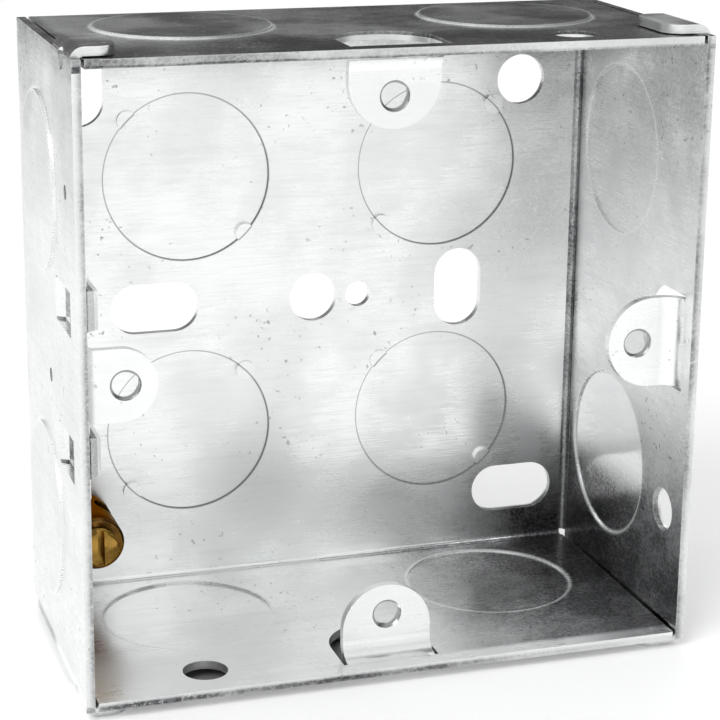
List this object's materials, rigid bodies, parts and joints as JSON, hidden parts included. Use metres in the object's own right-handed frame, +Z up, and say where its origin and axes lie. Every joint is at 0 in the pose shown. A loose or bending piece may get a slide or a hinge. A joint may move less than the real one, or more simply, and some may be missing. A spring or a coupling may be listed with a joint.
{
  "type": "flush back box",
  "caption": "Square folded sheet-steel wall box with round knockouts, tapped lugs, a sliding lug and a brass earth terminal.",
  "frame": {"origin": "centre of the back wall's outer face, on the axis of the centre hole", "axes": "+X to the right seen from the open front, +Y into the wall, +Z up"},
  "size_m": [0.0724, 0.0353, 0.0742],
  "materials": {
    "galvanised_shell": "bright zinc over rolled sheet, fine streaks and small scratches",
    "galvanised_lug": "bright zinc over rolled sheet",
    "brass_post": "turned brass, slightly dull",
    "brass_screw": "turned brass, slightly dull"
  },
  "bodies": {
    "box": {"box_shell": "galvanised_shell", "earth_terminal_post": "brass_post"},
    "adjustable_lug": {"adjustable_lug": "galvanised_lug"},
    "earth_screw": {"earth_terminal_screw": "brass_screw"}
  },
  "joints": [
    {"name": "lug_slide", "type": "slide", "parent": "box", "child": "adjustable_lug", "axis": [0, 0, 1], "range_m": [-0.0018, 0.0018]},
    {"name": "earth_screw_travel", "type": "slide", "parent": "box", "child": "earth_screw", "axis": [0, -1, 0], "range_m": [-0.0017, 0.0015]}
  ]
}
